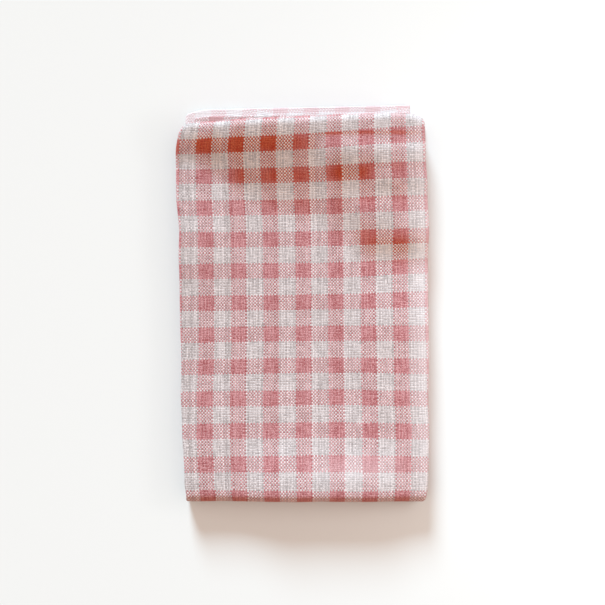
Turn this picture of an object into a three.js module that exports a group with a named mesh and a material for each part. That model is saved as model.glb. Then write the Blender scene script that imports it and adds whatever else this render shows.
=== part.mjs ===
import * as THREE from 'three';

// A gingham tea towel folded flat, as one solid sheet of cloth. It is folded in three across its
// width, into a strip of three layers, and the strip is folded in three along its length, so
// nine layers lie one on the other. Its long sides are woven edges, and its two ends are hemmed.
// Millimetres, +Z up, resting on z = 0. The top panel turns under at +Y in a high, loose roll,
// and one hemmed end of the cloth reaches out behind that roll, at the bottom.

// The cloth
const clothThick = 1.0;
const hemThick = 1.6;
const hemWide = 10;

// The strip: the panel that shows, and the two flaps folded under it
const panelWide = 153;
const layerPitch = 1.5;
const hemPitch = 1.9;
const innerFlapShort = 8.2;
const lowerFlapShort = 5.5;

// The stack: three runs of the strip, and the two folds that join them
const stripPitch = 4.5;
const farFoldY = 109.5;
const nearFoldY = -119.8;
const nearFoldDeep = 3.2;
const hiddenEndY = -106;
const hemmedEndY = 122.0;

// How much further each layer of the strip reaches at the hemmed end
const innerFlapReach = 1.5;
const panelReach = -2.5;
const lowerFlapReach = -3.2;

// The far fold and the hemmed end lie askew: how much further each reaches at the right side
const farSkew = 6.4;
const endSkew = 3.2;
const skewFromY = -40;

// The corners of the far fold and of the hemmed end are rounded off: from `from` to `to` they
// drop back by `drop`. The far fold's left side first reaches out a little (a drop below zero).
const farCorners = [
  { from: -42, to: -79, drop: -1.8 },
  { from: -69, to: -79, drop: 6 },
  { from: 64, to: 78, drop: 4.5 },
];
const endCorners = [
  { from: -62, to: -77, drop: 3.2 },
  { from: 66, to: 77, drop: 5 },
];
const cornerFromY = 84;

// The two runs under the top one have straighter sides, nearly at these places
const underLeft = -73.2;
const underRight = 76.2;
const underShare = 0.85;

// The roll lifts the middle run by this share of its height, and bulges outwards by this one
const middleLift = 0.35;
const rollBulge = 0.16;

// Side edges of the panel, from the near fold to the far one
const outline = [
  { y: -123, left: -72.2, right: 76.6 },
  { y: -112, left: -73.4, right: 77.6 },
  { y: -79, left: -74.8, right: 78.4 },
  { y: -45, left: -75.4, right: 78.2 },
  { y: 1, left: -76.0, right: 78.2 },
  { y: 39, left: -76.7, right: 78.1 },
  { y: 72, left: -78.4, right: 77.2 },
  { y: 92, left: -78.6, right: 75.9 },
  { y: 114, left: -75.9, right: 74.9 },
];

// The roll along the far fold: its height over the flat panel, how far it reaches down it, and
// how full its lower side is. It starts to fall a little behind the fold.
const rollFrom = 5;
const roll = [
  { x: -78, high: 3.5, reach: 26, full: 1.6 },
  { x: -66, high: 5.5, reach: 30, full: 1.5 },
  { x: -54, high: 8.0, reach: 37, full: 1.2 },
  { x: -40, high: 11.0, reach: 50, full: 1.0 },
  { x: -20, high: 12.5, reach: 62, full: 0.9 },
  { x: 6, high: 12.0, reach: 68, full: 0.9 },
  { x: 22, high: 12.0, reach: 84, full: 0.95 },
  { x: 38, high: 11.5, reach: 92, full: 1.0 },
  { x: 54, high: 9.5, reach: 92, full: 1.25 },
  { x: 66, high: 6.5, reach: 90, full: 1.7 },
  { x: 78, high: 4.5, reach: 80, full: 1.8 },
];

// Soft ridges over the panel. Each crest runs from (x0, y0) to (x1, y1), falls off over `far`
// towards +Y and over `near` towards -Y, and dies out over `ends` past its two ends.
// The last two rise towards the near fold, over the hem of the hidden end.
const ridges = [
  { x0: 24, y0: 94, x1: 66, y1: 92, high: 1.5, far: 9, near: 20, ends: 18 },
  { x0: 34, y0: 58, x1: 52, y1: 58, high: 0.7, far: 8, near: 14, ends: 12 },
  { x0: 50, y0: 76.5, x1: 72, y1: 76, high: 0.7, far: 8, near: 12, ends: 14 },
  { x0: 44, y0: 43, x1: 74, y1: 42, high: 2.3, far: 30, near: 20, ends: 20 },
  { x0: -78, y0: 38, x1: -56, y1: 34, high: 1.2, far: 38, near: 44, ends: 16 },
  { x0: 46, y0: -18, x1: 76, y1: -18, high: 1.7, far: 42, near: 80, ends: 24 },
  { x0: -80, y0: -112, x1: 80, y1: -112, high: 2.0, far: 80, near: 40, ends: 20 },
  { x0: -12, y0: -123, x1: 38, y1: -123, high: 4.0, far: 44, near: 40, ends: 38 },
];

// Mesh stations: places across the strip between the flaps' free edges, and along each run of it
const acrossPlaces = [-62, -48, -32, -16, 0, 16, 32, 47, 58];
const middlePlaces = [-66, -38, -12, 10, 38, 62, 80, 93, 102];
const topPlaces = [
  106, 102, 98, 93, 87, 80, 72, 64, 56, 47, 38, 29, 20, 10, -12, -38, -66, -80, -88, -96, -106, -114,
];
const bottomPlaces = [-105, -84, -50, -12, 24, 60, 88];
const farFoldSteps = 6;
const nearFoldSteps = 6;
const sideFoldSteps = 3;

const clothMaterial = new THREE.MeshStandardMaterial({
  name: 'gingham cloth',
  color: 0xd9a9a8,
  roughness: 0.95,
  metalness: 0,
});

const { clamp, degToRad, lerp, smoothstep } = THREE.MathUtils;

// A value read from a table at a place along it, eased from row to row
function tableValue(table, key, place, name) {
  const after = table.findIndex((row) => row[key] > place);
  if (after === 0) return table[0][name];
  if (after < 0) return table[table.length - 1][name];
  const share = smoothstep(place, table[after - 1][key], table[after][key]);
  return lerp(table[after - 1][name], table[after][name], share);
}

// One side of a soft swelling: 1 at its crest and 0 at its reach
function swell(distance, reach) {
  return (1 + Math.cos(Math.PI * clamp(distance / reach, 0, 1))) / 2;
}

function cornerDrop(corners, x) {
  const drops = corners.map(({ from, to, drop }) => drop * clamp((x - from) / (to - from), 0, 1) ** 2);
  return drops[0] + drops[1];
}

function farFoldAt(x) {
  return farFoldY + (farSkew * x) / panelWide - cornerDrop(farCorners, x);
}

function rollHeight(x, y) {
  const share = clamp((farFoldAt(x) + rollFrom - y) / tableValue(roll, 'x', x, 'reach'), 0, 1);
  return tableValue(roll, 'x', x, 'high') * swell(share ** tableValue(roll, 'x', x, 'full'), 1);
}

function ridgeHeight(ridge, x, y) {
  const along = clamp((x - ridge.x0) / (ridge.x1 - ridge.x0), 0, 1);
  const crestY = lerp(ridge.y0, ridge.y1, along);
  const pastEnd = Math.max(ridge.x0 - x, x - ridge.x1, 0);
  const reach = y > crestY ? ridge.far : ridge.near;
  return ridge.high * swell(pastEnd, ridge.ends) * swell(Math.abs(y - crestY), reach);
}

// Height of the top panel over its flat level
function reliefHeight(x, y) {
  return ridges.reduce((sum, ridge) => sum + ridgeHeight(ridge, x, y), rollHeight(x, y));
}

// Stations round a fold, between those of the flat stretches `from` and `to`. `place` and
// `height` are a station's two coordinates in the section, and `turn` is the way that the
// cloth's outer face looks there, where 90 degrees is up. All else is eased from one to the other.
// A fold is half an oval, `deep` from its centre outwards and `high` from there up and down.
function foldStations(centre, level, deep, high, from, to, steps) {
  const stations = [];
  for (let step = 1; step < steps; step += 1) {
    const share = step / steps;
    const turn = lerp(from.turn, to.turn, share);
    const station = {
      place: centre + deep * Math.cos(degToRad(turn)),
      height: level + high * Math.sin(degToRad(turn)),
      turn,
    };
    const eased = Object.keys(from).filter((name) => !(name in station));
    for (const name of eased) station[name] = lerp(from[name], to[name], smoothstep(share, 0, 1));
    stations.push(station);
  }
  return stations;
}

function flatStations(places, flat) {
  return places.map((place) => ({ ...flat, place }));
}

// Across the cloth: the inner flap, the left fold, the panel, the right fold, the lower flap.
// `reach` is how much further the layer goes at the hemmed end.
function stationsAcross() {
  const leftRadius = layerPitch / 2;
  const rightRadius = layerPitch;
  const left = leftRadius - panelWide / 2;
  const right = panelWide / 2 - rightRadius;
  const innerEdge = panelWide / 2 - innerFlapShort;
  const lowerEdge = lowerFlapShort - panelWide / 2;
  const places = [left, lowerEdge, ...acrossPlaces, innerEdge, right];
  const inner = { height: 0, turn: 270, reach: innerFlapReach };
  const panel = { height: layerPitch, turn: 90, reach: panelReach };
  const lower = { height: -layerPitch, turn: -90, reach: lowerFlapReach };
  return [
    ...flatStations(places.slice(0, -1).reverse(), inner),
    ...foldStations(left, leftRadius, leftRadius, leftRadius, inner, panel, sideFoldSteps),
    ...flatStations(places, panel),
    ...foldStations(right, 0, rightRadius, rightRadius, panel, lower, sideFoldSteps),
    ...flatStations(places.slice(1).reverse(), lower),
  ];
}

// Along the cloth: the hidden end and middle run, the far fold, the top run, the near fold, and
// the bottom run with the end that shows. `lift` is the share of the relief that a station takes,
// `under` is 1 on the two lower runs, `lowest` is 1 on the bottom one and `hem` is 1 on a hem.
function stationsAlong() {
  const flatHalf = layerPitch + clothThick / 2;
  const hemHalf = hemPitch + hemThick / 2;
  const farRadius = stripPitch / 2;
  const farLevel = flatHalf + stripPitch + farRadius;
  const nearLevel = flatHalf + stripPitch;
  const bottom = { height: flatHalf, turn: 270, lift: 0, under: 1, lowest: 1, hem: 0 };
  const middle = { height: flatHalf + stripPitch, turn: -90, lift: middleLift, under: 1, lowest: 0, hem: 0 };
  const top = { height: flatHalf + 2 * stripPitch, turn: 90, lift: 1, under: 0, lowest: 0, hem: 0 };
  const bottomHem = { ...bottom, height: hemHalf, hem: 1 };
  const middleHem = { ...middle, height: hemHalf + stripPitch, hem: 1 };
  return [
    ...flatStations([hiddenEndY, hiddenEndY + hemWide], middleHem),
    ...flatStations([...middlePlaces, farFoldY], middle),
    ...foldStations(farFoldY, farLevel, farRadius, farRadius, middle, top, farFoldSteps),
    ...flatStations([farFoldY, ...topPlaces, nearFoldY], top),
    ...foldStations(nearFoldY, nearLevel, nearFoldDeep, stripPitch, top, bottom, nearFoldSteps),
    ...flatStations([nearFoldY, ...bottomPlaces], bottom),
    ...flatStations([hemmedEndY - hemWide, hemmedEndY], bottomHem),
  ];
}

// The point of the cloth where two stations cross, on its outer face (side 1) or inner face (-1)
function clothPoint(across, along, side) {
  const half = (side * lerp(clothThick, hemThick, along.hem)) / 2;
  const spread = lerp(1, hemPitch / layerPitch, along.hem);
  const flatX = across.place + half * Math.cos(degToRad(across.turn));
  const depth = across.height * spread + half * Math.sin(degToRad(across.turn));
  const lookY = Math.cos(degToRad(along.turn));
  const lookZ = Math.sin(degToRad(along.turn));
  const skew = (lerp(farSkew, endSkew, along.lowest) * flatX) / panelWide;
  const reach = (skew + across.reach * along.lowest) * smoothstep(along.place, skewFromY, farFoldY);
  const corner = lerp(cornerDrop(farCorners, flatX), cornerDrop(endCorners, flatX), along.lowest);
  const drop = corner * smoothstep(along.place, cornerFromY, farFoldY);
  const flatY = along.place + depth * lookY + reach - drop;

  const left = lerp(tableValue(outline, 'y', flatY, 'left'), underLeft, underShare * along.under);
  const right = lerp(tableValue(outline, 'y', flatY, 'right'), underRight, underShare * along.under);
  const x = lerp(left, right, flatX / panelWide + 0.5);

  const relief = along.lift * reliefHeight(x, flatY);
  const bulge = along.place > farFoldY ? rollBulge * relief * lookY : 0;
  return new THREE.Vector3(x, flatY + bulge, along.height + depth * lookZ + relief);
}

// The closed sheet: its outer face, its inner face and the four edges between them
function clothGeometry() {
  const acrossList = stationsAcross();
  const alongList = stationsAlong();
  const columns = acrossList.length;
  const rows = alongList.length;
  const points = [1, -1].flatMap((side) =>
    alongList.flatMap((along) => acrossList.map((across) => clothPoint(across, along, side))),
  );
  const outer = (row, column) => row * columns + column;
  const toInner = rows * columns;
  const index = [];
  const addQuad = (a, b, c, d) => index.push(a, b, c, a, c, d);
  const addEdge = (from, to) => addQuad(to, from, from + toInner, to + toInner);
  for (let row = 1; row < rows; row += 1) {
    for (let column = 1; column < columns; column += 1) {
      const round = [
        outer(row, column - 1),
        outer(row, column),
        outer(row - 1, column),
        outer(row - 1, column - 1),
      ];
      // Layers that lie over each other are split along the same diagonal
      const toRight = acrossList[column].place > acrossList[column - 1].place;
      const toNear = alongList[row].place < alongList[row - 1].place;
      if (toRight !== toNear) round.push(round.shift());
      const [a, b, c, d] = round;
      addQuad(a, b, c, d);
      addQuad(a + toInner, d + toInner, c + toInner, b + toInner);
    }
  }
  for (let row = 1; row < rows; row += 1) {
    addEdge(outer(row - 1, 0), outer(row, 0));
    addEdge(outer(row, columns - 1), outer(row - 1, columns - 1));
  }
  for (let column = 1; column < columns; column += 1) {
    addEdge(outer(0, column), outer(0, column - 1));
    addEdge(outer(rows - 1, column - 1), outer(rows - 1, column));
  }
  const geometry = new THREE.BufferGeometry().setFromPoints(points);
  geometry.setIndex(index);
  geometry.computeVertexNormals();
  return geometry;
}

// The towel stands with the middle of its box over the origin
const geometry = clothGeometry();
geometry.computeBoundingBox();
const middleOfBox = geometry.boundingBox.getCenter(new THREE.Vector3());

const towel = new THREE.Mesh(geometry, clothMaterial);
towel.name = 'tea_towel';
towel.position.set(-middleOfBox.x, -middleOfBox.y, -geometry.boundingBox.min.z);

const teaTowel = new THREE.Group();
teaTowel.add(towel);

export default teaTowel;
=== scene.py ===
import math

import bmesh
import bpy
from mathutils import Matrix, Vector, noise


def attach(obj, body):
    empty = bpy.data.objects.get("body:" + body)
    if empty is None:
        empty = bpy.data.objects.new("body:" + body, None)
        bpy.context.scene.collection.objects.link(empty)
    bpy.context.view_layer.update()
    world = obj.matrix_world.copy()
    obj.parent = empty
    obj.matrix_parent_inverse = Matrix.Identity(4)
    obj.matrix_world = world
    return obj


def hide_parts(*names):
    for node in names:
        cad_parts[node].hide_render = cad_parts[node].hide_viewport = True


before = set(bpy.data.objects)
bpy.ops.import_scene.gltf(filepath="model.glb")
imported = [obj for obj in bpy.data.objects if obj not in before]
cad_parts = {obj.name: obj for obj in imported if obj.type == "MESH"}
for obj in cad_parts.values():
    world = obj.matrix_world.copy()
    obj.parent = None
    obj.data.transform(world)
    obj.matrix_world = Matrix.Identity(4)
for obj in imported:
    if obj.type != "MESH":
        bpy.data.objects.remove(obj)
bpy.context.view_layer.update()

# --- The tea towel -------------------------------------------------------------------------
# One cut of gingham, plain woven from coarse cotton and linen yarn that was dyed before weaving.
# Its long sides are the loom's own edges, and its two ends are turned twice and sewn. It is
# folded in three across, then in three along, and the far fold is left as a high, loose roll.

# The sizes are in millimetres. The sheet's edges are rounded, down to this share of its thickness.
mm = 0.001
cloth_thick = 1.0
edge_round = 0.7
edge_thinnest = 0.3

# The hems, with the groove that their stitches leave. Past a hem, the layers over and under it
# come together again over a length.
hem_thick = 1.6
hem_wide = 10
hem_step = 0.7
stitches_from_end = 8.3
stitches_deep = 0.35
stitches_reach = 1.0
layers_close_over = 24.5

# The strip of three layers: the panel that shows, and the two flaps folded under it
panel_wide = 153
layer_pitch = 1.5
hem_pitch = 1.9
inner_flap_short = 8.2
lower_flap_short = 5.5

# The stack: three runs of the strip, and the two folds that join them
strip_pitch = 4.5
far_fold_y = 109.5
near_fold_y = -119.8
near_fold_deep = 3.2
hidden_end_y = -106
hemmed_end_y = 122.0

# How much further each layer reaches at the hemmed end, and how far the far fold and that end
# lie askew
inner_flap_reach = 1.5
panel_reach = -2.5
lower_flap_reach = -3.2
far_skew = 6.4
end_skew = 3.2
skew_from_y = -40
corner_from_y = 84

# Rounded corners of the far fold and of the hemmed end: from x, to x, drop. The far fold's left
# side first reaches out a little, so its drop is below zero.
far_corners = [(-42, -79, -1.8), (-69, -79, 6), (64, 78, 4.5)]
end_corners = [(-62, -77, 3.2), (66, 77, 5)]

# Side edges of the top panel: y, left x, right x
outline = [
    (-123, -72.2, 76.6),
    (-112, -73.4, 77.6),
    (-79, -74.8, 78.4),
    (-45, -75.4, 78.2),
    (1, -76.0, 78.2),
    (39, -76.7, 78.1),
    (72, -78.4, 77.2),
    (92, -78.6, 75.9),
    (114, -75.9, 74.9),
]

# The two runs under the top one have straighter sides, nearly at these places
under_left = -73.2
under_right = 76.2
under_share = 0.85

# The roll along the far fold: x, height, reach down the panel, fullness of its lower side. It
# starts to fall a little behind the fold.
roll = [
    (-78, 3.5, 26, 1.6),
    (-66, 5.5, 30, 1.5),
    (-54, 8.0, 37, 1.2),
    (-40, 11.0, 50, 1.0),
    (-20, 12.5, 62, 0.9),
    (6, 12.0, 68, 0.9),
    (22, 12.0, 84, 0.95),
    (38, 11.5, 92, 1.0),
    (54, 9.5, 92, 1.25),
    (66, 6.5, 90, 1.7),
    (78, 4.5, 80, 1.8),
]
roll_from = 5

# The roll lifts the middle run by this share of its height, and bulges outwards by this one
middle_lift = 0.35
roll_bulge = 0.16

# Soft ridges: crest from (x0, y0) to (x1, y1), height, width towards +Y, width towards -Y, ends.
# The last two rise towards the near fold, over the hem of the hidden end.
ridges = [
    (24, 94, 66, 92, 1.5, 9, 20, 18),
    (34, 58, 52, 58, 0.7, 8, 14, 12),
    (50, 76.5, 72, 76, 0.7, 8, 12, 14),
    (44, 43, 74, 42, 2.3, 30, 20, 20),
    (-78, 38, -56, 34, 1.2, 38, 44, 16),
    (46, -18, 76, -18, 1.7, 42, 80, 24),
    (-80, -112, 80, -112, 2.0, 80, 40, 20),
    (-12, -123, 38, -123, 4.0, 44, 40, 38),
]

# Small unevenness of hand-folded cloth: its broad and its fine lumps, how strong the fine ones
# are, and how far it moves the cloth up and along. The side edges wander by another one, with
# its own length, that changes from layer to layer.
broad_lumps = (31, 24)
fine_lumps = (12, 15)
fine_share = 0.4
pucker_up = 0.3
pucker_along = 0.5
edge_wander = 0.7
wander_long = 23
wander_by_height = 0.3
up_seed, along_seed, edge_seed, fine_seed = 3, 7, 11, 40


def clamp(value, low, high):
    return max(low, min(high, value))


def lerp(start, end, share):
    return start + (end - start) * share


def eased(value, start, end):
    """0 up to the start and 1 from the end on, smooth between them."""
    share = clamp((value - start) / (end - start), 0, 1)
    return share * share * (3 - 2 * share)


def table_row(table, place):
    """The row of a table at a place, eased from row to row."""
    if place <= table[0][0]:
        return table[0][1:]
    for before, after in zip(table, table[1:]):
        if place <= after[0]:
            share = eased(place, before[0], after[0])
            return [lerp(a, b, share) for a, b in zip(before[1:], after[1:])]
    return table[-1][1:]


def swell(distance, reach):
    """One side of a soft swelling: 1 at its crest and 0 at its reach."""
    return (1 + math.cos(math.pi * clamp(distance / reach, 0, 1))) / 2


def corner_drop(corners, x):
    """How far a corner of a fold or of an end drops back."""
    return sum(drop * clamp((x - a) / (b - a), 0, 1) ** 2 for a, b, drop in corners)


def relief(x, y):
    """Height of the top panel over its flat level."""
    far_fold = far_fold_y + far_skew * x / panel_wide - corner_drop(far_corners, x)
    high, reach, fullness = table_row(roll, x)
    height = high * swell(clamp((far_fold + roll_from - y) / reach, 0, 1) ** fullness, 1)
    for x0, y0, x1, y1, high, far, near, ends in ridges:
        crest_y = lerp(y0, y1, clamp((x - x0) / (x1 - x0), 0, 1))
        past_end = max(x0 - x, x - x1, 0)
        width = far if y > crest_y else near
        if past_end < ends and abs(y - crest_y) < width:
            height += high * swell(past_end, ends) * swell(abs(y - crest_y), width)
    return height


def pucker(x, y, seed):
    """Small unevenness of hand-folded cloth, between about -1 and 1."""
    broad = noise.noise(Vector((x / broad_lumps[0], y / broad_lumps[1], seed)))
    fine = noise.noise(Vector((x / fine_lumps[0], y / fine_lumps[1], seed + fine_seed)))
    return broad + fine_share * fine


def flat_part(start, end, steps, facts):
    """Stations from the start of a flat stretch up to, but not at, its end."""
    return [dict(facts, place=lerp(start, end, step / steps)) for step in range(steps)]


def fold_part(centre, level, deep, high, before, after, steps):
    """Stations round a fold, from one flat stretch up to, but not at, the next. It is half an
    oval, so deep and so high. `turn` is the way that the outer face looks, 90 degrees being up."""
    stations = []
    for step in range(steps):
        share = step / steps
        station = {name: lerp(before[name], after[name], eased(share, 0, 1)) for name in before}
        turn = math.radians(lerp(before["turn"], after["turn"], share))
        station["turn"] = math.degrees(turn)
        station["place"] = centre + deep * math.cos(turn)
        station["height"] = level + high * math.sin(turn)
        stations.append(station)
    return stations


# Stations across the cloth, from the free edge of the inner flap to that of the lower flap.
# `reach` is how much further the layer goes at the hemmed end, and the last key how strong the
# painted highlight, a paler colour for the strong light on that end, is there: the lower flap,
# which is covered, less than the others.
lower_flap_highlight = 0.45
left_radius = layer_pitch / 2
left_bend = left_radius - panel_wide / 2
right_bend = panel_wide / 2 - layer_pitch
inner_edge = panel_wide / 2 - inner_flap_short
lower_edge = lower_flap_short - panel_wide / 2
inner_flap = dict(height=0, turn=270, reach=inner_flap_reach, highlit=1)
panel = dict(height=layer_pitch, turn=90, reach=panel_reach, highlit=1)
lower_flap = dict(height=-layer_pitch, turn=-90, reach=lower_flap_reach, highlit=lower_flap_highlight)
rim_steps = 4
across_inner = (
    flat_part(inner_edge, inner_edge - edge_round, rim_steps, inner_flap)
    + flat_part(inner_edge - edge_round, left_bend, 30, inner_flap)
    + fold_part(left_bend, layer_pitch / 2, left_radius, left_radius, inner_flap, panel, 6)
)
across_panel = flat_part(left_bend, right_bend, 90, panel)
across_lower = (
    fold_part(right_bend, 0, layer_pitch, layer_pitch, panel, lower_flap, 8)
    + flat_part(right_bend, lower_edge + edge_round, 30, lower_flap)
    + flat_part(lower_edge + edge_round, lower_edge, rim_steps, lower_flap)
    + [dict(lower_flap, place=lower_edge)]
)
across = across_inner + across_panel + across_lower

# Stations along the cloth: the hidden end and middle run, the far fold, the top run, the near
# fold, the bottom run and the end that shows. `lift` is the share of the relief that a station
# takes, `under` is 1 on the two lower runs, and `lowest` is 1 on the bottom one. They lie
# closer on the roll and near the end that shows.
flat_half = layer_pitch + cloth_thick / 2
bottom_run = dict(height=flat_half, turn=270, lift=0, under=1, lowest=1)
middle_run = dict(height=flat_half + strip_pitch, turn=-90, lift=middle_lift, under=1, lowest=0)
top_run = dict(height=flat_half + 2 * strip_pitch, turn=90, lift=1, under=0, lowest=0)
far_radius = strip_pitch / 2
far_level = flat_half + strip_pitch + far_radius
near_level = flat_half + strip_pitch
closer_from_y = 60
showing_end_y = hemmed_end_y - 12
along = (
    flat_part(hidden_end_y, hidden_end_y + edge_round, rim_steps, middle_run)
    + flat_part(hidden_end_y + edge_round, hidden_end_y + hem_wide, 5, middle_run)
    + flat_part(hidden_end_y + hem_wide, far_fold_y, 40, middle_run)
    + fold_part(far_fold_y, far_level, far_radius, far_radius, middle_run, top_run, 20)
    + flat_part(far_fold_y, closer_from_y, 36, top_run)
    + flat_part(closer_from_y, near_fold_y, 80, top_run)
    + fold_part(near_fold_y, near_level, near_fold_deep, strip_pitch, top_run, bottom_run, 18)
    + flat_part(near_fold_y, showing_end_y, 38, bottom_run)
    + flat_part(showing_end_y, hemmed_end_y - edge_round, 20, bottom_run)
    + flat_part(hemmed_end_y - edge_round, hemmed_end_y, rim_steps, bottom_run)
    + [dict(bottom_run, place=hemmed_end_y)]
)


def measure_out(stations):
    """Gives each station its length of cloth from the first one and from the nearer end, and
    the share of the thickness that it has, which falls at the rounded ends."""
    length = 0
    for before, station in zip([stations[0]] + stations, stations):
        length += math.hypot(
            station["place"] - before["place"], station["height"] - before["height"]
        )
        station["length"] = length
    for station in stations:
        from_end = min(station["length"], length - station["length"])
        station["from_end"] = from_end
        bare = 1 - clamp(from_end / edge_round, 0, 1)
        station["fullness"] = max(math.sqrt(1 - bare * bare), edge_thinnest)


# A hem is three thicknesses of cloth pressed together, with a row of stitches along it. `room`
# is how far the layers over and under it are moved apart.
measure_out(across)
measure_out(along)
for station in along:
    at_hem = 1 - eased(station["from_end"], hem_wide - hem_step, hem_wide + hem_step)
    off_stitches = abs(station["from_end"] - stitches_from_end)
    groove = stitches_deep * swell(off_stitches, stitches_reach)
    station["thick"] = lerp(cloth_thick, hem_thick, at_hem) - groove
    station["room"] = 1 - clamp((station["from_end"] - hem_wide) / layers_close_over, 0, 1)
    if station["under"] == 1:
        station["height"] += (hem_pitch + hem_thick / 2 - flat_half) * station["room"]


def cloth_point(over, down, side):
    """Where two stations cross, on the outer face (side 1), the inner one (-1) or between (0)."""
    half = side * down["thick"] / 2 * min(over["fullness"], down["fullness"])
    turn = math.radians(over["turn"])
    flat_x = over["place"] + half * math.cos(turn)
    spread = lerp(1, hem_pitch / layer_pitch, down["room"])
    depth = over["height"] * spread + half * math.sin(turn)

    turn = math.radians(down["turn"])
    look_y, look_z = math.cos(turn), math.sin(turn)
    skew = lerp(far_skew, end_skew, down["lowest"]) * flat_x / panel_wide
    reach = skew + over["reach"] * down["lowest"]
    reach *= eased(down["place"], skew_from_y, far_fold_y)
    drop = lerp(corner_drop(far_corners, flat_x), corner_drop(end_corners, flat_x), down["lowest"])
    drop *= eased(down["place"], corner_from_y, far_fold_y)
    y = down["place"] + depth * look_y + reach - drop
    y += pucker_along * look_y * pucker(flat_x, 0, along_seed)

    left, right = table_row(outline, y)
    left = lerp(left, under_left, under_share * down["under"])
    right = lerp(right, under_right, under_share * down["under"])
    share = flat_x / panel_wide + 0.5
    x = lerp(left, right, share)
    level = wander_by_height * (down["height"] + over["height"])
    wander = noise.noise(Vector((level, y / wander_long, edge_seed)))
    near_side = abs(2 * share - 1) ** 3
    x += edge_wander * near_side * wander

    raised = relief(x, y) + pucker_up * pucker(x, y, up_seed)
    z = down["height"] + depth * look_z + down["lift"] * raised
    if down["place"] > far_fold_y:
        y += roll_bulge * down["lift"] * raised * look_y
    return Vector((x, y, z))


# Painted shade: the yarns are given darker, deeper-coloured copies of their colours where the
# cloth above rises steeply towards the far fold, in the lee of the roll: the slopes at which this
# starts and is complete, how far up they are looked for, and the lean to the left in that. On the
# left the darkest painted shade lies nearer the far fold: how much nearer, and between which x
# this fades out.
shade_from_slope, shade_to_slope = 0.12, 0.41
slope_reaches = (2, 5, 10, 18, 28, 40)
slope_lean = 0.2
painted_shade_shift = (8, -26, 16)

# The shade is painted on the covered runs too, from part of the way round a fold, but less on the
# lowest run, whose end shows. It is painted along the near fold as well, between two places.
covered_from = 0.55
covered_shade = 0.8
lowest_less = 0.75
near_fold_shade = 0.85
near_fold_shade_from, near_fold_shade_to = -119, -123.5

# Creases and dips that get painted shade as well: from (x0, y0) to (x1, y1), half their width,
# how strong. It fades out past their ends.
crease_ends = 12
creases = [
    (14, 103.2, 66, 104.6, 1.9, 0.9),
    (38, 41, 76, 35, 15, 0.58),
    (-60, 97, 4, 99.5, 10, 0.42),
    (-40, 77, 36, 79.5, 8, 0.3),
]

# Painted highlights, a paler colour where the crest over the near fold and the right-hand edge
# catch the light: x, y, half the width, half the length, how pale. The end that shows is painted
# pale as a highlight between two places along it.
painted_highlight_places = [(38, -103, 48, 15, 0.32), (80, -10, 19, 200, 0.5)]
painted_highlight_from_y, painted_highlight_to_y = 106, 113


def painted_highlight_share(x, y, over, down):
    """How strong the painted highlight is, at the hemmed end that shows and on the lit crest and
    right-hand edge of the panel: 0 to 1."""
    if down["lowest"] == 1:
        return over["highlit"] * eased(y, painted_highlight_from_y, painted_highlight_to_y)
    return down["lift"] * max(
        share * swell(abs(x - middle_x), half_wide) * swell(abs(y - middle_y), half_long)
        for middle_x, middle_y, half_wide, half_long, share in painted_highlight_places
    )


def painted_shade_share(x, y, down):
    """How much painted shade a place gets, under a rise of the cloth or under the towel: 0 to 1.
    On the panel it goes by how steeply the cloth rises above it towards the far fold."""
    shift, shift_from, shift_to = painted_shade_shift
    start = y - shift * (1 - eased(x, shift_from, shift_to))
    level = relief(x, start)
    slope = max((relief(x - slope_lean * d, start + d) - level) / d for d in slope_reaches)
    # deep is the strength of the painted shade, from the slope and then from the creases
    deep = eased(slope, shade_from_slope, shade_to_slope)
    for x0, y0, x1, y1, half_wide, share in creases:
        off_crease = abs(y - lerp(y0, y1, (x - x0) / (x1 - x0)))
        in_crease = swell(off_crease, half_wide) * swell(max(x0 - x, x - x1, 0), crease_ends)
        deep = min(deep + share * in_crease * down["lift"], 1)
    covered = eased(down["under"], covered_from, 1) - lowest_less * down["lowest"]
    at_near_fold = eased(y, near_fold_shade_from, near_fold_shade_to)
    return max(deep, covered_shade * covered, near_fold_shade * at_near_fold)


# The check: the places of every second red warp stripe of the panel, and how many repeats lie
# between the first and the last whole one
repeat = 20
warp_stripe_x = (-59.5, -19.4, 20.6, 60.6)
warp_repeats = 6

# Where the twelve red weft stripes lie on the panel, at those four places across it: y
weft_stripes = [
    (96.9, 97.7, 100.2, 103.7),
    (79.0, 79.0, 80.1, 81.6),
    (59.1, 59.4, 60.0, 61.6),
    (39.4, 39.5, 40.3, 41.3),
    (19.6, 20.2, 20.4, 22.6),
    (-0.2, 0.1, 0.7, 1.9),
    (-19.9, -19.2, -18.8, -18.9),
    (-39.9, -39.1, -38.7, -39.1),
    (-59.7, -59.5, -58.5, -59.3),
    (-79.9, -79.3, -78.8, -79.7),
    (-100.3, -99.7, -99.2, -99.9),
    (-121.2, -121.2, -121.3, -121.4),
]

# Cloth outside the first and the last whole red warp stripe of the panel, by the length of
# cloth from the first weft stripe: length, left, right
grain = [
    (-20, 17.0, 16.7),
    (100, 16.1, 17.1),
    (198, 13.1, 15.1),
    (470, 18.2, 5.0),
]


def weft_length(x, y):
    """Length of cloth from the first red weft stripe to a place on the panel, if it lies
    between the first stripe and the last one."""
    left = sum(x >= stripe_x for stripe_x in warp_stripe_x[1:-1])
    share = (x - warp_stripe_x[left]) / (warp_stripe_x[left + 1] - warp_stripe_x[left])
    places = [lerp(row[left], row[left + 1], share) for row in weft_stripes]
    for count, (before, after) in enumerate(zip(places, places[1:])):
        if after <= y <= before:
            return repeat * (count + (before - y) / (before - after))
    return None


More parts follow.
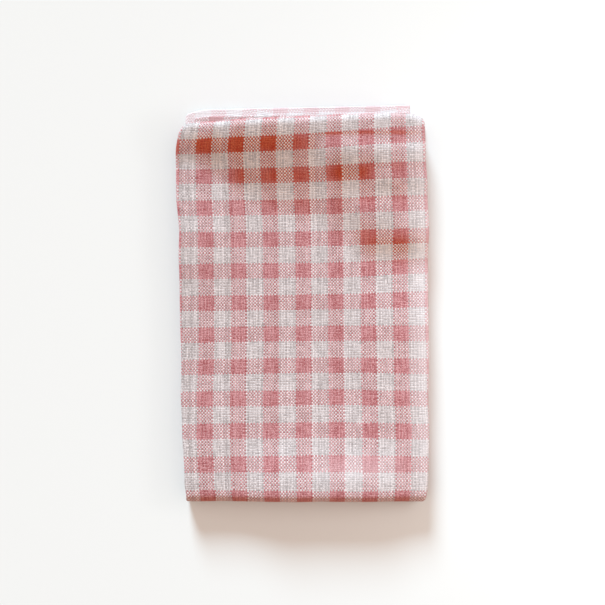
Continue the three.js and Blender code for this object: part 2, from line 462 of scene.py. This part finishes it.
# Where each point lies in the flat cloth, in millimetres across and along it from the first
# stripes. It is read from the stripes on the panel, and measured out along the cloth from there.
top_first = next(j for j, down in enumerate(along) if down["lift"] == 1)
top_last = max(j for j, down in enumerate(along) if down["lift"] == 1)
flat_place = {}
for i, over in enumerate(across):
    line = [cloth_point(over, down, 0) for down in along]
    known = {}
    for j in range(top_first, top_last + 1):
        length = weft_length(line[j].x, line[j].y)
        if length is not None:
            known[j] = length
    first, last = min(known), max(known)
    for j in range(first - 1, -1, -1):
        known[j] = known[j + 1] - (line[j + 1] - line[j]).length
    for j in range(last + 1, len(along)):
        known[j] = known[j - 1] + (line[j] - line[j - 1]).length
    cut = over["length"] - across_panel[0]["length"] + layer_pitch / 2
    for j in range(len(along)):
        left, right = table_row(grain, known[j])
        share = clamp(cut / panel_wide, 0, 1)
        past = min(cut, 0) + max(cut - panel_wide, 0)
        flat_x = lerp(-left, warp_repeats * repeat + right, share) + past
        flat_place[i, j] = (flat_x, known[j])

# Two grids, an outer and an inner face, joined round their rims and then laid on the folds
sheet = bmesh.new()
columns, rows = len(across), len(along)
for level in (1, -1):
    bmesh.ops.create_grid(
        sheet, x_segments=columns - 1, y_segments=rows - 1, size=1,
        matrix=Matrix.Translation((0, 0, cloth_thick * mm * level)),
    )
rims = [edge for edge in sheet.edges if edge.is_boundary]
bmesh.ops.bridge_loops(sheet, edges=rims)
bmesh.ops.recalc_face_normals(sheet, faces=sheet.faces[:])
crossings = {}
# Each vertex keeps how much painted shade and painted highlight its colour gets
painted_shade_layer = sheet.verts.layers.float.new("painted_shade")
painted_highlight_layer = sheet.verts.layers.float.new("painted_highlight")
for vert in sheet.verts:
    i = round((vert.co.x + 1) / 2 * (columns - 1))
    j = round((1 - vert.co.y) / 2 * (rows - 1))
    crossings[vert] = (i, j)
    middle = cloth_point(across[i], along[j], 0)
    vert[painted_shade_layer] = painted_shade_share(middle.x, middle.y, along[j])
    vert[painted_highlight_layer] = painted_highlight_share(middle.x, middle.y, across[i], along[j])
    vert.co = cloth_point(across[i], along[j], 1 if vert.co.z > 0 else -1) * mm
for face in sheet.faces:
    face.smooth = True

low = Vector(min(vert.co[k] for vert in sheet.verts) for k in range(3))
high = Vector(max(vert.co[k] for vert in sheet.verts) for k in range(3))
bmesh.ops.translate(
    sheet, verts=sheet.verts[:], vec=(-(low.x + high.x) / 2, -(low.y + high.y) / 2, -low.z)
)

# The flat cloth's own measures, in metres. Whole repeats are added to keep them above zero.
more_repeats_wide, more_repeats_long = 10, 15
flat_map = sheet.loops.layers.uv.new("cloth")
for face in sheet.faces:
    for loop in face.loops:
        wide, long = flat_place[crossings[loop.vert]]
        wide += more_repeats_wide * repeat
        long += more_repeats_long * repeat
        loop[flat_map].uv = (wide * mm, long * mm)

mesh = bpy.data.meshes.new("tea_towel_cloth")
sheet.to_mesh(mesh)
sheet.free()
towel = bpy.data.objects.new("tea_towel_cloth", mesh)
bpy.context.scene.collection.objects.link(towel)

# The weave: warp and weft yarns about a millimetre apart that go over and under each other. Each
# yarn has its own shade, wanders, and shows as a round crown where it lies on top. Lengths are
# counted in yarns, apart from the height of a crown, which is in millimetres.
red_ends, white_ends = 10, 11
red_picks, white_picks = 9, 10
yarn_wander = 0.9
wander_lumps = (2.6, 16)
crown_flatness = 0.6
warp_crown_high, warp_crown_bent = 1.2, 0.8
crown_height = 0.24
fibre_size = 0.16
fibre_share = 0.25
reed_gap = 0.5
reed_share = 0.42

# The shade of a yarn: streaks along it, a chance of its own, and flecks
streak_long = 7
streaks_apart = 5.3
streak_detail = 3
warp_chance, weft_chance = 0.28, 0.12
warp_chance_seed, weft_chance_seed = 0.5, 900.5
weft_contrast = 0.65
fleck_size = 0.55
red_fleck, white_fleck = 0.9, 0.45
tone_from, tone_to = 0.27, 0.73

# The red yarns plain, darker and deeper with painted shade, and paler with painted highlight,
# with the off-white yarns in the same places. Both are a little cleaner in the mixed squares.
plain_red_deep = (0.35, 0.083, 0.09)
plain_red_pale = (0.67, 0.338, 0.355)
painted_shade_red_deep = (0.35, 0.022, 0.003)
painted_shade_red_pale = (0.49, 0.085, 0.028)
painted_highlight_red = (0.81, 0.64, 0.67)
painted_highlight_red_share = 0.9
white_clean = (0.785, 0.698, 0.703)
white_dull = (0.38, 0.326, 0.326)
painted_shade_white = (0.715, 0.555, 0.49)
painted_highlight_white = (0.83, 0.78, 0.80)
mixed_red_cleaner, mixed_white_cleaner = 0.1, 0.15

# Painted shade in the gaps between the yarns, below these heights of crown, and less of it under
# the painted highlight
painted_gap_shade = (0.32, 0.2976, 0.288)
gap_full, gap_none = 0.08, 0.52
painted_highlight_gap_less = 0.7

gingham = bpy.data.materials.new("gingham_cloth")
gingham.use_nodes = True
nodes, links = gingham.node_tree.nodes, gingham.node_tree.links
nodes.clear()


def feed(socket, value):
    """Links a socket to another one, or sets it to a plain value."""
    if isinstance(value, bpy.types.NodeSocket):
        links.new(value, socket)
    else:
        socket.default_value = value


def calc(operation, *values):
    """The result of a math operation on sockets and numbers."""
    node = nodes.new("ShaderNodeMath")
    node.operation = operation
    for socket, value in zip(node.inputs, values):
        feed(socket, value)
    return node.outputs[0]


def less(value, share):
    """A value, made smaller by a share of it from 0 to 1."""
    return calc("MULTIPLY", value, calc("SUBTRACT", 1.0, share))


def blend(share, first, second, how="MIX"):
    """Mixes two numbers, or two colours, by a share from 0 to 1."""
    node = nodes.new("ShaderNodeMix")
    is_colour = isinstance(first, tuple) or getattr(first, "type", "") == "RGBA"
    node.data_type = "RGBA" if is_colour else "FLOAT"
    node.blend_type = how
    sockets = [s for s in node.inputs if s.enabled]
    for socket, value in zip(sockets, (share, first, second)):
        feed(socket, (*value, 1) if isinstance(value, tuple) else value)
    return next(s for s in node.outputs if s.enabled)


def uneven(x, y, size, detail=2.0):
    """Smooth unevenness over the cloth, about 0.5, with lumps of a size."""
    place = nodes.new("ShaderNodeCombineXYZ")
    feed(place.inputs[0], calc("DIVIDE", x, size[0]))
    feed(place.inputs[1], calc("DIVIDE", y, size[1]))
    texture = nodes.new("ShaderNodeTexNoise")
    texture.noise_dimensions = "2D"
    texture.inputs["Scale"].default_value = 1
    texture.inputs["Detail"].default_value = detail
    links.new(place.outputs[0], texture.inputs["Vector"])
    return texture.outputs["Fac"]


def yarn_chance(number, seed):
    """A number from 0 to 1 that each yarn has by chance."""
    texture = nodes.new("ShaderNodeTexWhiteNoise")
    texture.noise_dimensions = "1D"
    feed(texture.inputs["W"], calc("ADD", number, seed))
    return texture.outputs["Value"]


def ramp(value, low, high):
    """0 below the low value and 1 above the high one, smooth between them."""
    node = nodes.new("ShaderNodeMapRange")
    node.interpolation_type = "SMOOTHSTEP"
    for socket, item in zip(node.inputs, (value, low, high, 0.0, 1.0)):
        feed(socket, item)
    return node.outputs[0]


flat_uv = nodes.new("ShaderNodeUVMap")
flat_uv.uv_map = "cloth"
split = nodes.new("ShaderNodeSeparateXYZ")
links.new(flat_uv.outputs[0], split.inputs[0])
wide = calc("MULTIPLY", split.outputs[0], (red_ends + white_ends) / (repeat * mm))
long = calc("MULTIPLY", split.outputs[1], (red_picks + white_picks) / (repeat * mm))

# Yarns wander a little, and lie closer in some places than in others
warp_at = calc("MULTIPLY_ADD", uneven(wide, long, wander_lumps), yarn_wander, wide)
weft_at = calc("MULTIPLY_ADD", uneven(wide, long, wander_lumps[::-1]), yarn_wander, long)
warp_at = calc("SUBTRACT", warp_at, yarn_wander / 2)
weft_at = calc("SUBTRACT", weft_at, yarn_wander / 2)
warp_yarn = calc("FLOOR", warp_at)
weft_yarn = calc("FLOOR", weft_at)
warp_wave = calc("SINE", calc("MULTIPLY", warp_at, math.pi))
weft_wave = calc("SINE", calc("MULTIPLY", weft_at, math.pi))
warp_on_top = calc("GREATER_THAN", calc("MULTIPLY", warp_wave, weft_wave), 0)
warp_round = calc("ABSOLUTE", warp_wave)
weft_round = calc("ABSOLUTE", weft_wave)

# The reed leaves a slightly wider gap after every second warp yarn, which gets painted shade too
reed_wave = calc("ABSOLUTE", calc("SINE", calc("MULTIPLY", warp_at, math.pi / 2)))
reed_mark = calc("SUBTRACT", 1.0, ramp(reed_wave, 0.0, reed_gap))

# Height of the crown on top: round across its yarn, and bent down at both ends along it
warp_crown = calc("POWER", warp_round, crown_flatness)
warp_ends = calc("MULTIPLY", weft_round, warp_crown_bent)
warp_crown = calc("MULTIPLY_ADD", warp_crown, warp_crown_high, warp_ends)
weft_crown = calc("ADD", calc("POWER", weft_round, crown_flatness), warp_round)
crown = calc("MULTIPLY", blend(warp_on_top, weft_crown, warp_crown), 0.5)

# The tone of the yarn on top, from 0 where it is clean or pale to 1 where it is dull or deep
warp_lane = calc("MULTIPLY", warp_yarn, streaks_apart)
weft_lane = calc("MULTIPLY", weft_yarn, streaks_apart)
warp_streak = uneven(warp_lane, long, (1, streak_long), streak_detail)
weft_streak = uneven(wide, weft_lane, (streak_long, 1), streak_detail)
warp_tone = blend(warp_chance, warp_streak, yarn_chance(warp_yarn, warp_chance_seed))
weft_tone = blend(weft_chance, weft_streak, yarn_chance(weft_yarn, weft_chance_seed))
weft_tone = calc("MULTIPLY_ADD", calc("SUBTRACT", weft_tone, 0.5), weft_contrast, 0.5)
tone = blend(warp_on_top, weft_tone, warp_tone)
fleck = calc("SUBTRACT", uneven(wide, long, (fleck_size, fleck_size), detail=1), 0.5)
white_tone = ramp(calc("MULTIPLY_ADD", fleck, white_fleck, tone), tone_from, tone_to)
red_tone = ramp(calc("MULTIPLY_ADD", fleck, red_fleck, tone), tone_from, tone_to)


def in_red_stripe(yarn, red_count, white_count):
    """1 for a yarn of a red stripe, and 0 for one of an off-white stripe."""
    from_stripe = calc("FLOORED_MODULO", calc("ADD", yarn, red_count / 2), red_count + white_count)
    return calc("LESS_THAN", from_stripe, red_count)


warp_red = in_red_stripe(warp_yarn, red_ends, white_ends)
weft_red = in_red_stripe(weft_yarn, red_picks, white_picks)
is_red = blend(warp_on_top, weft_red, warp_red)

mixed = calc("ABSOLUTE", calc("SUBTRACT", warp_red, weft_red))
red_tone = less(red_tone, calc("MULTIPLY", mixed, mixed_red_cleaner))
white_tone = less(white_tone, calc("MULTIPLY", mixed, mixed_white_cleaner))

# How much painted shade each vertex gets
painted_shade_place = nodes.new("ShaderNodeAttribute")
painted_shade_place.attribute_name = "painted_shade"
painted_shade = painted_shade_place.outputs["Fac"]
# How strong the painted highlight is at each vertex
painted_highlight_place = nodes.new("ShaderNodeAttribute")
painted_highlight_place.attribute_name = "painted_highlight"
painted_highlight = painted_highlight_place.outputs["Fac"]

# Painted shade: where the shade attribute is high, the yarns take their darker, more orange shaded
# colours
plain_red = blend(red_tone, plain_red_pale, plain_red_deep)
painted_shade_red = blend(red_tone, painted_shade_red_pale, painted_shade_red_deep)
red = blend(painted_shade, plain_red, painted_shade_red)
# Painted highlight: the colour turns pale where the highlight attribute is high
red = blend(calc("MULTIPLY", painted_highlight, painted_highlight_red_share), red, painted_highlight_red)
white = blend(white_tone, blend(painted_shade, white_clean, painted_shade_white), white_dull)
white = blend(painted_highlight, white, painted_highlight_white)
colour = blend(is_red, white, red)

# Painted shade: the colour is darkened in the gaps between the yarns and at the reed's wider gaps
open_gap = calc("SUBTRACT", 1.0, ramp(crown, gap_full, gap_none))
open_gap = calc("MAXIMUM", open_gap, calc("MULTIPLY", reed_mark, reed_share))
open_gap = less(open_gap, calc("MULTIPLY", painted_highlight, painted_highlight_gap_less))
colour = blend(open_gap, colour, painted_gap_shade, "MULTIPLY")

fibre = uneven(wide, long, (fibre_size, fibre_size))
bump = nodes.new("ShaderNodeBump")
bump.inputs["Strength"].default_value = 1.0
bump.inputs["Distance"].default_value = crown_height * mm
links.new(calc("MULTIPLY_ADD", fibre, fibre_share, crown), bump.inputs["Height"])

cotton = nodes.new("ShaderNodeBsdfPrincipled")
cotton.inputs["Roughness"].default_value = 0.92
cotton.inputs["Specular IOR Level"].default_value = 0.25
cotton.inputs["Sheen Weight"].default_value = 0.25
cotton.inputs["Sheen Roughness"].default_value = 0.5
links.new(colour, cotton.inputs["Base Color"])
links.new(bump.outputs[0], cotton.inputs["Normal"])
surface = nodes.new("ShaderNodeOutputMaterial")
links.new(cotton.outputs[0], surface.inputs[0])
mesh.materials.append(gingham)

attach(towel, "root")
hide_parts("tea_towel")

# --- The table top it lies on --------------------------------------------------------------
# A plain, pale, matt painted board, wide enough to reach past every view. Its sizes, and those
# of the light and the camera, are in metres.

board_wide = 3.0
board_thick = 0.018
board_edge = 0.003
paint_colour = (0.79, 0.79, 0.785)

board_mesh = bmesh.new()
board_under = Matrix.Translation((0, 0, -board_thick / 2))
board_shape = Matrix.Diagonal((board_wide, board_wide, board_thick, 1))
bmesh.ops.create_cube(board_mesh, size=1, matrix=board_under @ board_shape)
bmesh.ops.bevel(
    board_mesh, geom=board_mesh.edges[:], offset=board_edge, affect="EDGES",
    segments=2, profile=0.5, material=-1,
)
mesh = bpy.data.meshes.new("table_top")
board_mesh.to_mesh(mesh)
board_mesh.free()
board = bpy.data.objects.new("table_top", mesh)
bpy.context.scene.collection.objects.link(board)

paint = bpy.data.materials.new("pale_paint")
paint.use_nodes = True
paint_shader = paint.node_tree.nodes["Principled BSDF"]
paint_shader.inputs["Base Color"].default_value = (*paint_colour, 1)
paint_shader.inputs["Roughness"].default_value = 0.8
paint_shader.inputs["Specular IOR Level"].default_value = 0.2
mesh.materials.append(paint)

# --- The light -----------------------------------------------------------------------------
# A low, wide, cool window behind the towel and a little to the left, a small soft lamp to its
# right, and warm light from the room all round.

window_elevation = 22
window_azimuth = 12
window_spread = 18
window_strength = 5.22
window_colour = (0.64, 0.86, 0.98)
lamp_place = (0.27, 0.0, 0.20)
lamp_size = 0.15
lamp_power = 0.3
room_colour = (0.75, 0.61, 0.525)
wall_colour = (0.92, 0.92, 0.92)

window_light = bpy.data.lights.new("window", "SUN")
window_light.energy = window_strength
window_light.color = window_colour
window_light.angle = math.radians(window_spread)
window = bpy.data.objects.new("window", window_light)
window_tilt = math.radians(90 - window_elevation)
window.rotation_euler = (window_tilt, 0, math.radians(180 + window_azimuth))
bpy.context.scene.collection.objects.link(window)

lamp_light = bpy.data.lights.new("lamp", "AREA")
lamp_light.size = lamp_size
lamp_light.energy = lamp_power
lamp = bpy.data.objects.new("lamp", lamp_light)
lamp.location = lamp_place
lamp.visible_camera = False
bpy.context.scene.collection.objects.link(lamp)

world = bpy.data.worlds.new("room")
world.use_nodes = True
room_nodes, room_links = world.node_tree.nodes, world.node_tree.links
room_nodes.clear()
seen = room_nodes.new("ShaderNodeLightPath")
pale_wall = room_nodes.new("ShaderNodeBackground")
pale_wall.inputs[0].default_value = (*wall_colour, 1)
warm_fill = room_nodes.new("ShaderNodeBackground")
warm_fill.inputs[0].default_value = (*room_colour, 1)
either = room_nodes.new("ShaderNodeMixShader")
room_links.new(seen.outputs["Is Camera Ray"], either.inputs[0])
room_links.new(warm_fill.outputs[0], either.inputs[1])
room_links.new(pale_wall.outputs[0], either.inputs[2])
room_surface = room_nodes.new("ShaderNodeOutputWorld")
room_links.new(either.outputs[0], room_surface.inputs[0])
bpy.context.scene.world = world
bpy.context.scene.view_settings.view_transform = "Standard"

# --- The camera ----------------------------------------------------------------------------
# Straight above the towel, looking down, with the hemmed end at the top of the frame.

camera_high = 0.6
camera_lens = 56.05

camera_data = bpy.data.cameras.new("above")
camera_data.sensor_width = 36
camera_data.lens = camera_lens
camera_data.clip_start = 0.01
camera = bpy.data.objects.new("above", camera_data)
camera.location = (0, 0, camera_high)
bpy.context.scene.collection.objects.link(camera)
bpy.context.scene.camera = camera
